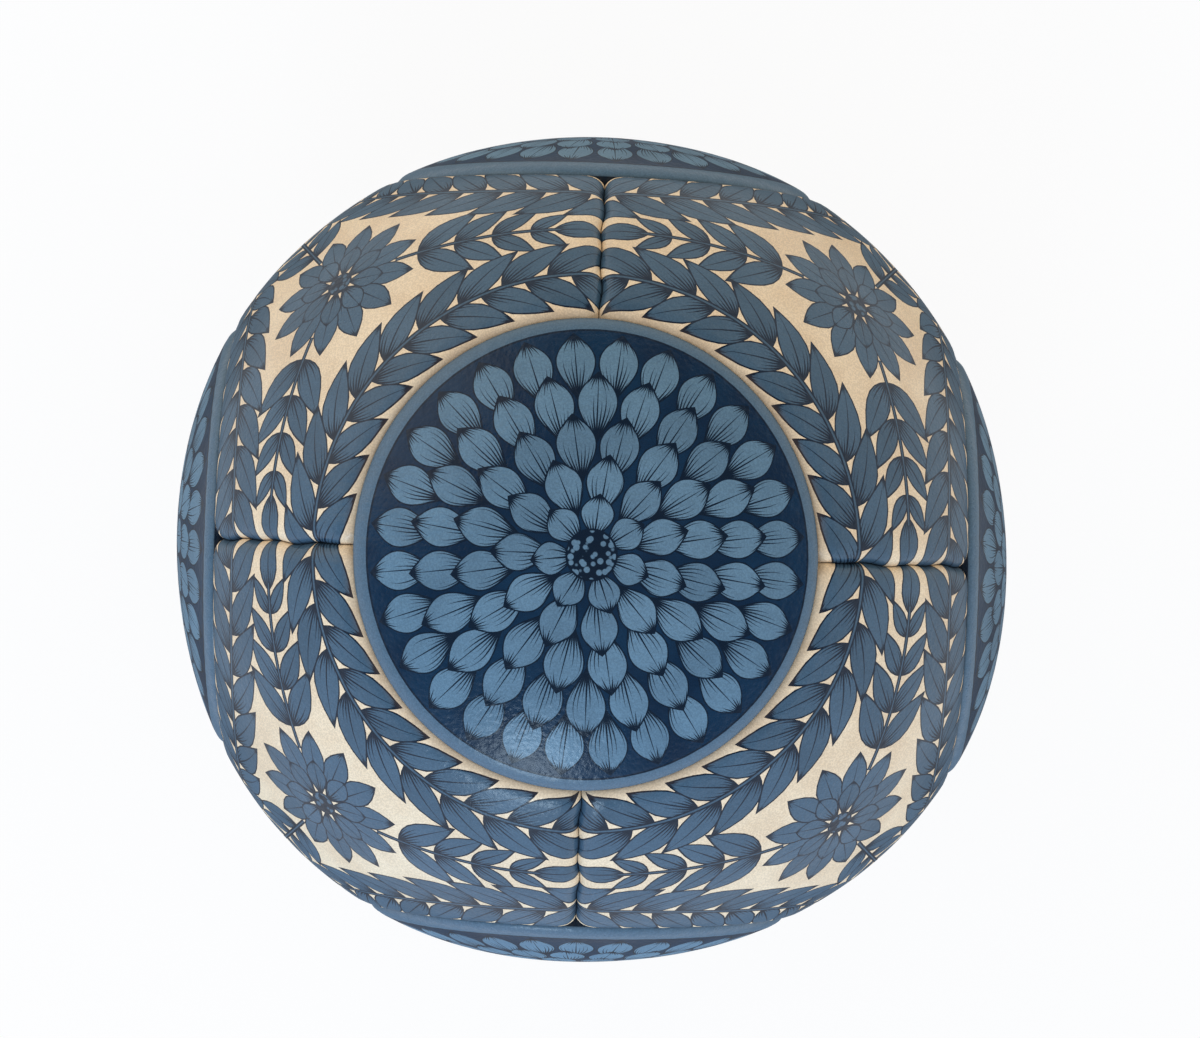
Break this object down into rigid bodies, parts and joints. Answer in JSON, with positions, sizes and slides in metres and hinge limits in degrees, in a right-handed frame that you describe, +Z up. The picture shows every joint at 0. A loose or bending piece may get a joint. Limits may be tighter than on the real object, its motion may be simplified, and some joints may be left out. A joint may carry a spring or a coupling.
{
  "type": "sewn football",
  "caption": "Round inflatable ball sewn from printed leather caps and three-cornered panels with drawn-in seams, cloth linings, a rubber bladder and a needle valve with a pull-out core.",
  "frame": {"origin": "centre of the ball", "axes": "+Z up through the middle of the top cap, the one the picture shows face on; +Y through the valve in the middle of the back cap; +X through the middle of the right cap"},
  "size_m": [0.2188, 0.2187, 0.2188],
  "materials": {
    "cap_leather": "printed, fine grain, semi-gloss",
    "corner_leather": "printed, fine grain, semi-gloss",
    "lining_cloth": "plain woven cotton",
    "seam_thread": "waxed thread",
    "bladder_rubber": "matt",
    "valve_rubber": "matt moulded",
    "core_rubber": "matt moulded"
  },
  "bodies": {
    "ball": {"panel_cap_right": "cap_leather", "panel_cap_left": "cap_leather", "panel_cap_back": "cap_leather", "panel_cap_front": "cap_leather", "panel_cap_top": "cap_leather", "panel_cap_bottom": "cap_leather", "panel_corner_top_back_right": "corner_leather", "panel_corner_bottom_back_right": "corner_leather", "panel_corner_top_front_right": "corner_leather", "panel_corner_bottom_front_right": "corner_leather", "panel_corner_top_back_left": "corner_leather", "panel_corner_bottom_back_left": "corner_leather", "panel_corner_top_front_left": "corner_leather", "panel_corner_bottom_front_left": "corner_leather", "lining_cap_right": "lining_cloth", "lining_cap_left": "lining_cloth", "lining_cap_back": "lining_cloth", "lining_cap_front": "lining_cloth", "lining_cap_top": "lining_cloth", "lining_cap_bottom": "lining_cloth", "lining_corner_top_back_right": "lining_cloth", "lining_corner_bottom_back_right": "lining_cloth", "lining_corner_top_front_right": "lining_cloth", "lining_corner_bottom_front_right": "lining_cloth", "lining_corner_top_back_left": "lining_cloth", "lining_corner_bottom_back_left": "lining_cloth", "lining_corner_top_front_left": "lining_cloth", "lining_corner_bottom_front_left": "lining_cloth", "thread_cap_right": "seam_thread", "thread_cap_left": "seam_thread", "thread_cap_back": "seam_thread", "thread_cap_front": "seam_thread", "thread_cap_top": "seam_thread", "thread_cap_bottom": "seam_thread", "thread_top_front": "seam_thread", "thread_top_back": "seam_thread", "thread_bottom_front": "seam_thread", "thread_bottom_back": "seam_thread", "thread_top_right": "seam_thread", "thread_top_left": "seam_thread", "thread_bottom_right": "seam_thread", "thread_bottom_left": "seam_thread", "thread_front_right": "seam_thread", "thread_front_left": "seam_thread", "thread_back_right": "seam_thread", "thread_back_left": "seam_thread", "bladder": "bladder_rubber", "valve_patch": "lining_cloth", "valve_housing": "valve_rubber"},
    "valve_core": {"valve_core": "core_rubber"}
  },
  "joints": [
    {"name": "valve_core_pull", "type": "slide", "parent": "ball", "child": "valve_core", "axis": [0, 1, 0], "range_m": [0, 0.026]}
  ]
}
